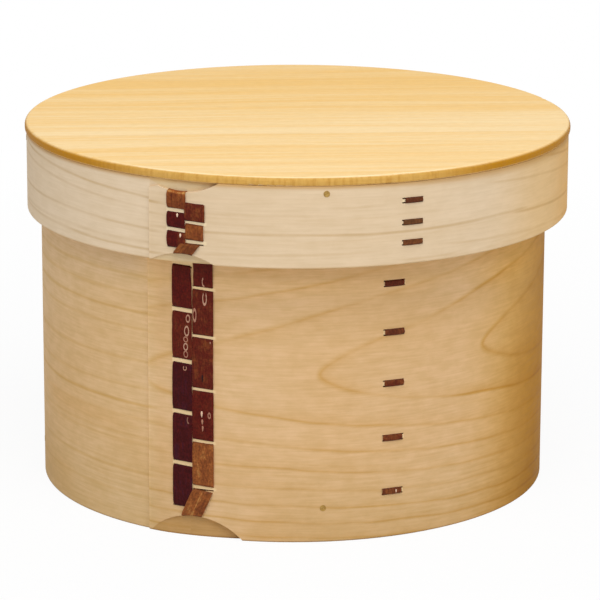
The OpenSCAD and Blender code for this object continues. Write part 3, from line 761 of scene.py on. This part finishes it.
tubWood = hoopWood("tubWood", tubHoop, tubSeam, tubWoodLook)
lidWood = hoopWood("lidWood", lidHoop, lidSeam, lidWoodLook)
lidBoard = boardWood("lidBoard", lidBoardLook)
baseBoard = boardWood("baseBoard", baseBoardLook)
barkSkin = cherryBark()
cork = barkCork()
pegWood = bamboo()
dress("tub_hoop", tubWood)
dress("lid_hoop", lidWood)
for nodeName in nodes:
    if nodeName.startswith("lid_plank"):
        dress(nodeName, lidBoard)
    if nodeName.startswith("base_plank"):
        dress(nodeName, baseBoard)
    if nodeName.endswith(("pegs", "dowels")):
        dress(nodeName, pegWood)
print("woods and bark dressed")


# Bark stitches: each is a sheet laid over the wood that turns down into a slit at both ends

barkForm = {
    "thick": 0.8, "overSlit": 0.38, "crown": 0.72, "shortCrown": 0.6, "slantCrown": 1.05,
    "turn": 0.8, "dive": 1.7, "bury": 0.27, "overEdge": 0.3, "edgeDrop": 0.16, "edgeWidth": 0.45,
    "wave": 0.07, "ragged": 0.09, "cornerReach": 2.6, "headReach": 7.5,
    "across": 18, "along": 30, "shortAlong": 14, "endShadeReach": 1.0, "foldFrom": 0.45, "foldReach": 0.6,
    "tilt": 0.5, "corner": 0.3, "shortCorner": 0.25, "shortBulge": 0.22, "smoothAngle": 50,
    # the last stitch of a left strip folds over the rim, and the one below it narrows to its head
    "headFold": 0.3, "headRight": 0.5, "headTilt": 0.25,
}


def stitch(side, azimuth, low, high, tone, wide, **extra):
    made = {
        "side": side, "azimuth": azimuth, "low": low - barkForm["bury"], "high": high + barkForm["bury"],
        "tone": tone, "wide": wide, "tilt": 0.0, "headTilt": None, "lean": 0.0, "bulge": 0.0,
        "crown": barkForm["crown"], "lowArc": None, "highArc": None, "headRight": 0.0,
        "leftCorner": barkForm["corner"], "rightCorner": barkForm["corner"], "leftIn": 0.0, "rightIn": 0.0,
        "headFold": 0.0, "worn": 0.0,
        "seed": low * 1.7 + azimuth,
    }
    made.update(extra)
    return made


def arcHeight(arc, hoop, azimuth, up):
    # edge of a round scoop at an azimuth; arc is its azimuth, its centre's height and its radius
    x = math.radians(azimuth - arc[0]) * hoop["radius"]
    return arc[1] + up * math.sqrt(arc[2] ** 2 - x ** 2)


def stitchPoint(hoop, one, u, v, lift=0.0):
    perDegree = math.radians(1) * hoop["radius"]
    x = (u - 0.5) * one["wide"]
    bulge = one["bulge"] * (1 - (2 * u - 1) ** 2)
    headTilt = one["tilt"] if one["headTilt"] is None else one["headTilt"]
    low = one["low"] - one["tilt"] * (u - 0.5) - bulge
    high = one["high"] - headTilt * (u - 0.5) + bulge
    if one["lowArc"]:
        foot = one["azimuth"] + (x - one["lean"] * (one["high"] - one["low"])) / perDegree
        low = arcHeight(one["lowArc"], hoop, foot, 1) - barkForm["overEdge"]
    if one["highArc"]:
        high = arcHeight(one["highArc"], hoop, one["azimuth"] + x / perDegree, -1) + barkForm["overEdge"]
    height = low + (high - low) * v
    toEnd = min(v, 1 - v) * (high - low)
    corner = max(0, 1 - toEnd / barkForm["cornerReach"]) ** 2
    ragged = barkForm["ragged"]
    leftEdge = -one["wide"] / 2 + one["leftIn"] + corner * one["leftCorner"]
    leftEdge += ragged * noise.noise(Vector((height * 0.5, one["seed"], 1)))
    rightEdge = one["wide"] / 2 - one["rightIn"] - corner * one["rightCorner"]
    rightEdge += ragged * noise.noise(Vector((height * 0.5, one["seed"], 2)))
    rightEdge -= one["headRight"] * max(0, 1 - (1 - v) * (high - low) / barkForm["headReach"])
    x = leftEdge + (rightEdge - leftEdge) * u
    x -= one["lean"] * (one["high"] - height)
    crown = one["crown"] * (1 - 0.4 * (2 * v - 1) ** 4)
    turn = max(0, 1 - toEnd / barkForm["turn"])
    dive = barkForm["dive"] * (1 - math.sqrt(max(0, 1 - turn ** 2)))
    toSide = min(u, 1 - u) * one["wide"]
    drop = barkForm["edgeDrop"] * max(0, 1 - toSide / barkForm["edgeWidth"]) ** 2
    wave = barkForm["wave"] * noise.noise(Vector((u * 2.2, height * 0.16, one["seed"])))
    return hoopPoint(hoop, one["azimuth"] + one["side"] * x / perDegree, height, one["side"],
                     crown - dive - drop + wave + lift)


def eased(share):
    return 0.5 - 0.5 * math.cos(math.pi * share)


def toneAt(tone, u):
    # a stitch has one tone, or tones at places across it
    if not isinstance(tone, list):
        return tone
    for (start, first), (stop, second) in zip(tone, tone[1:]):
        if u <= stop:
            return first + (second - first) * (u - start) / (stop - start)
    return tone[-1][1]


def addStitch(hoop, one, number):
    deselectAll()
    length = one["high"] - one["low"]
    rows = barkForm["along"] if length > 4 else barkForm["shortAlong"]
    bpy.ops.mesh.primitive_grid_add(x_subdivisions=barkForm["across"], y_subdivisions=rows, size=1)
    sheet = bpy.context.object
    mesh = sheet.data
    spots = [(eased(v.co.x + 0.5), eased(v.co.y + 0.5)) for v in mesh.vertices]
    for loop, uv in zip(mesh.loops, mesh.uv_layers[0].data):
        u, v = spots[loop.vertex_index]
        uv.uv = (u * one["wide"] + number * 13.7, v * length + one["low"] * 2.3)
    mesh.uv_layers[0].name = "UVMap"
    tone, end, worn = [mesh.attributes.new(name, "FLOAT", "POINT") for name in ("barkTone", "barkEndShade", "barkWorn")]
    for vertex, (u, v) in zip(mesh.vertices, spots):
        vertex.co = stitchPoint(hoop, one, u, v)
        fold = max(0, 1 - abs((1 - v) * length - barkForm["foldFrom"]) / barkForm["foldReach"])
        tone.data[vertex.index].value = toneAt(one["tone"], u) + one["headFold"] * fold
        # how near a stitch's end each point lies, for painted shade where the bark turns into its slit
        toEnd = v if one["headFold"] else min(v, 1 - v)
        end.data[vertex.index].value = max(0, 1 - toEnd * length / barkForm["endShadeReach"]) ** 1.5
        worn.data[vertex.index].value = one["worn"]
    bpy.ops.object.modifier_add(type="SOLIDIFY")
    sheet.modifiers[0].thickness = barkForm["thick"] * mm
    sheet.modifiers[0].offset = -1
    bpy.ops.object.modifier_apply(modifier=sheet.modifiers[0].name)
    mesh.materials.append(barkSkin)
    return sheet


corkForm = {
    "thin": 0.17, "lift": 0.35, "chipLift": 0.22, "chipPoint": 0.35,
    # which part of an oval each kind keeps, in degrees from its right end, up first
    "arcs": {"ring": (0, 360), "vee": (118, 422), "hook": (100, 300)},
}


def openOval(oval, arc):
    # cuts a gap into an oval and closes the two ends
    bpy.ops.object.mode_set(mode="EDIT")
    bpy.ops.mesh.select_all(action="DESELECT")
    bpy.ops.object.mode_set(mode="OBJECT")
    for vertex in oval.data.vertices:
        angle = math.degrees(math.atan2(vertex.co.y, vertex.co.x)) % 360
        vertex.select = not (arc[0] <= angle <= arc[1] or arc[0] <= angle + 360 <= arc[1])
    bpy.ops.object.mode_set(mode="EDIT")
    bpy.ops.mesh.delete(type="VERT")
    bpy.ops.mesh.select_all(action="SELECT")
    bpy.ops.mesh.fill_holes(sides=0)
    bpy.ops.object.mode_set(mode="OBJECT")


def addCorkMark(hoop, one, mark):
    # a lenticel: a thin raised oval of cork on the bark, or part of one, or a filled chip
    kind, azimuth, height, halfWide, halfHigh, pale = mark
    deselectAll()
    if kind == "chip":
        bpy.ops.mesh.primitive_ico_sphere_add(subdivisions=2, radius=1)
        spot = bpy.context.object
        for vertex in spot.data.vertices:
            vertex.co.x *= 1 - corkForm["chipPoint"] * (1 - vertex.co.y)
            vertex.co.z *= corkForm["chipLift"] / corkForm["lift"]
    else:
        slim = corkForm["thin"] / halfWide
        bpy.ops.mesh.primitive_torus_add(major_radius=1 - slim, minor_radius=slim,
                                         major_segments=28, minor_segments=6)
        spot = bpy.context.object
        if kind != "ring":
            openOval(spot, corkForm["arcs"][kind])
    perDegree = math.radians(1) * hoop["radius"]
    length = one["high"] - one["low"]
    u = (azimuth - one["azimuth"]) * perDegree / one["wide"] + 0.5
    v = (height - one["low"]) / length
    tone = spot.data.attributes.new("barkTone", "FLOAT", "POINT")
    for vertex in spot.data.vertices:
        x, y, z = vertex.co
        nearU = min(max(u + x * halfWide / one["wide"], 0.01), 0.99)
        nearV = min(max(v + y * halfHigh / length, 0), 1)
        vertex.co = stitchPoint(hoop, one, nearU, nearV, z * corkForm["lift"])
        tone.data[vertex.index].value = pale
    spot.data.materials.append(cork)
    return spot


def buildStrip(name, hoop, body, stitches, marks, nodeName):
    made = [addStitch(hoop, one, number) for number, one in enumerate(stitches)]
    for mark in marks:
        carrier = next(one for one in stitches if one["side"] > 0 and one["low"] < mark[2] < one["high"])
        made.append(addCorkMark(hoop, carrier, mark))
    deselectAll()
    for piece in made:
        piece.select_set(True)
    strip = made[0]
    bpy.context.view_layer.objects.active = strip
    bpy.ops.object.join()
    bpy.ops.object.shade_smooth_by_angle(angle=math.radians(barkForm["smoothAngle"]))
    strip.name = name
    strip.data.name = name
    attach(strip, body)
    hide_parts(nodeName)
    print(name, "has", len(stitches), "stitches and", len(marks), "lenticels")


def runSpans(bars, bar, low, high):
    # heights of the stitches between the bars, from the low end to the high end
    starts = ([] if low is None else [low]) + [z + bar / 2 for z in bars]
    stops = [z - bar / 2 for z in bars if low is not None or z > bars[0]] + [high]
    return list(zip(starts, stops))


def shortOnes(bars, bar, azimuth, wide, side, tones):
    # where a strip crosses a bar: the short stitches on the other face of the wall
    reach = bar / 2 + barkForm["overSlit"]
    corner = barkForm["shortCorner"]
    return [stitch(side, azimuth, z - reach, z + reach, tone, wide, crown=barkForm["shortCrown"],
                   bulge=barkForm["shortBulge"], leftCorner=corner, rightCorner=corner)
            for z, tone in zip(bars, tones)]


def trim(stitches, **shortfalls):
    # hand-made differences from stitch to stitch
    for key, amounts in shortfalls.items():
        for one, amount in zip(stitches, amounts):
            one[key] += amount


def buildSeam(body, hoop, seam):
    leftSpans = runSpans(seam["leftBars"], seam["leftBar"], seam["leftFoot"], seam["rimArc"][1] - seam["rimArc"][2])
    left = [stitch(1, seam["leftAz"], low, high, tone, seam["leftWide"], tilt=barkForm["tilt"],
                   leftCorner=0.4, rightCorner=0.1)
            for (low, high), tone in zip(leftSpans, seam["leftTones"])]
    left[-1].update(highArc=seam["rimArc"], headFold=barkForm["headFold"])
    left[-2].update(headRight=barkForm["headRight"], headTilt=barkForm["headTilt"])
    hidden = [seam["shortTone"]] * len(seam["rightBars"])
    left += shortOnes(seam["leftBars"], seam["leftBar"], seam["leftAz"], seam["leftWide"], -1, hidden)
    rightSpans = runSpans(seam["rightBars"], seam["rightBar"], None, seam["rightHead"])
    right = [stitch(1, seam["rightAz"], low, high, tone, seam["rightWide"], tilt=barkForm["tilt"],
                    leftCorner=0.1, rightCorner=0.15)
             for (low, high), tone in zip(rightSpans, seam["rightTones"])]
    trim(right, leftIn=seam["rightLeftIn"], rightIn=seam["rightRightIn"], worn=seam["rightWorn"])
    footHeight = seam["footArc"][1] + seam["footArc"][2]
    right.append(stitch(1, seam["rightAz"] + seam["slantShift"], footHeight, seam["slantHead"], seam["slantTone"],
                        seam["rightWide"], lean=seam["slant"], crown=barkForm["slantCrown"],
                        tilt=seam["slantTilt"], worn=seam["slantWorn"], lowArc=seam["footArc"]))
    right += shortOnes(seam["rightBars"], seam["rightBar"], seam["rightAz"], seam["rightWide"], -1, hidden)
    half = seam["innerBar"] / 2
    inner = [stitch(-1, seam["innerAz"], low + half, high - half, seam["innerTone"], seam["innerWide"])
             for low, high in zip(seam["innerBars"], seam["innerBars"][1:])]
    dashes = shortOnes(seam["innerBars"], seam["innerBar"], seam["innerAz"], seam["innerWide"], 1, seam["dashTones"])
    perDegree = math.radians(1) * hoop["radius"]
    trim(dashes, leftIn=seam["dashLeftIn"], worn=seam["dashWorn"],
         azimuth=[shift / perDegree for shift in seam["dashShift"]])
    inner += dashes
    buildStrip(body + "LeftBark", hoop, body, left, seam["leftMarks"], body + "_left_bark")
    buildStrip(body + "RightBark", hoop, body, right, seam["rightMarks"], body + "_right_bark")
    buildStrip(body + "InnerBark", hoop, body, inner, seam["dashMarks"], body + "_inner_bark")


buildSeam("tub", tubHoop, tubSeam)
buildSeam("lid", lidHoop, lidSeam)


# Floor, light and camera

stageLook = {"floorSize": 8.0, "floor": (0.88, 0.88, 0.88, 1), "whiteNear": 0.92, "whiteFrom": 0.15, "whiteTo": 0.6,
             "worldLight": 0.45}


def backdropRays():
    # the rays that see a white backdrop: from the camera, off gloss and through glass
    path = addNode("LightPath").outputs
    seen = most(path["Is Camera Ray"], path["Is Glossy Ray"])
    return most(seen, path["Is Transmission Ray"])


def showBackdrop(output, share, lit, backdrop):
    mixed = addNode("MixShader")
    for socket, source in zip(mixed.inputs, (share, lit.outputs[0], backdrop.outputs[0])):
        feed(socket, source)
    feed(bench["tree"].nodes[output].inputs["Surface"], mixed.outputs[0])


def layFloor():
    deselectAll()
    bpy.ops.mesh.primitive_plane_add(size=stageLook["floorSize"])
    floor = bpy.context.object
    floor.name = "floor"
    material, shader = newMaterial("paleFloor", specular=0.0)
    shader.inputs["Base Color"].default_value = stageLook["floor"]
    shader.inputs["Roughness"].default_value = 0.9
    away = addNode("VectorMath", operation="LENGTH")
    feed(away.inputs[0], objectPlace())
    share = span(away.outputs["Value"], stageLook["whiteFrom"], stageLook["whiteTo"], stageLook["whiteNear"], 1)
    seen = times(backdropRays(), share)
    showBackdrop("Material Output", seen, shader, addNode("Emission"))
    floor.data.materials.append(material)


def lightWorld():
    world = bpy.data.worlds.new("studio")
    bpy.context.scene.world = world
    world.use_nodes = True
    bench["tree"] = world.node_tree
    glow = world.node_tree.nodes["Background"]
    glow.inputs["Strength"].default_value = stageLook["worldLight"]
    glow.inputs["Color"].default_value = white
    showBackdrop("World Output", backdropRays(), glow, addNode("Background"))


softbox = {"place": (0.11, -0.95, 1.6), "aim": (0, 0, 0.07), "size": 1.4, "watts": 24.5}


def hangSoftbox():
    deselectAll()
    place = Vector(softbox["place"])
    turn = (Vector(softbox["aim"]) - place).to_track_quat("-Z", "Y").to_euler()
    bpy.ops.object.light_add(type="AREA", location=place, rotation=turn)
    lamp = bpy.context.object
    lamp.name = "keyBox"
    lamp.data.size = softbox["size"]
    lamp.data.energy = softbox["watts"]


cameraLook = {
    "place": (0, -1.3692, 0.4332), "aim": (0.0028, 0, 0.0682), "lens": 212.2, "sensor": 36, "roll": 0.208,
}


def setCamera():
    deselectAll()
    place = Vector(cameraLook["place"])
    turn = (Vector(cameraLook["aim"]) - place).to_track_quat("-Z", "Y")
    turn = turn @ Quaternion((0, 0, 1), math.radians(cameraLook["roll"]))
    bpy.ops.object.camera_add(location=place, rotation=turn.to_euler())
    camera = bpy.context.object
    camera.data.lens = cameraLook["lens"]
    camera.data.sensor_width = cameraLook["sensor"]
    bpy.context.scene.camera = camera


layFloor()
lightWorld()
hangSoftbox()
setCamera()
bpy.context.scene.view_settings.view_transform = "Standard"
print("floor, light and camera set")
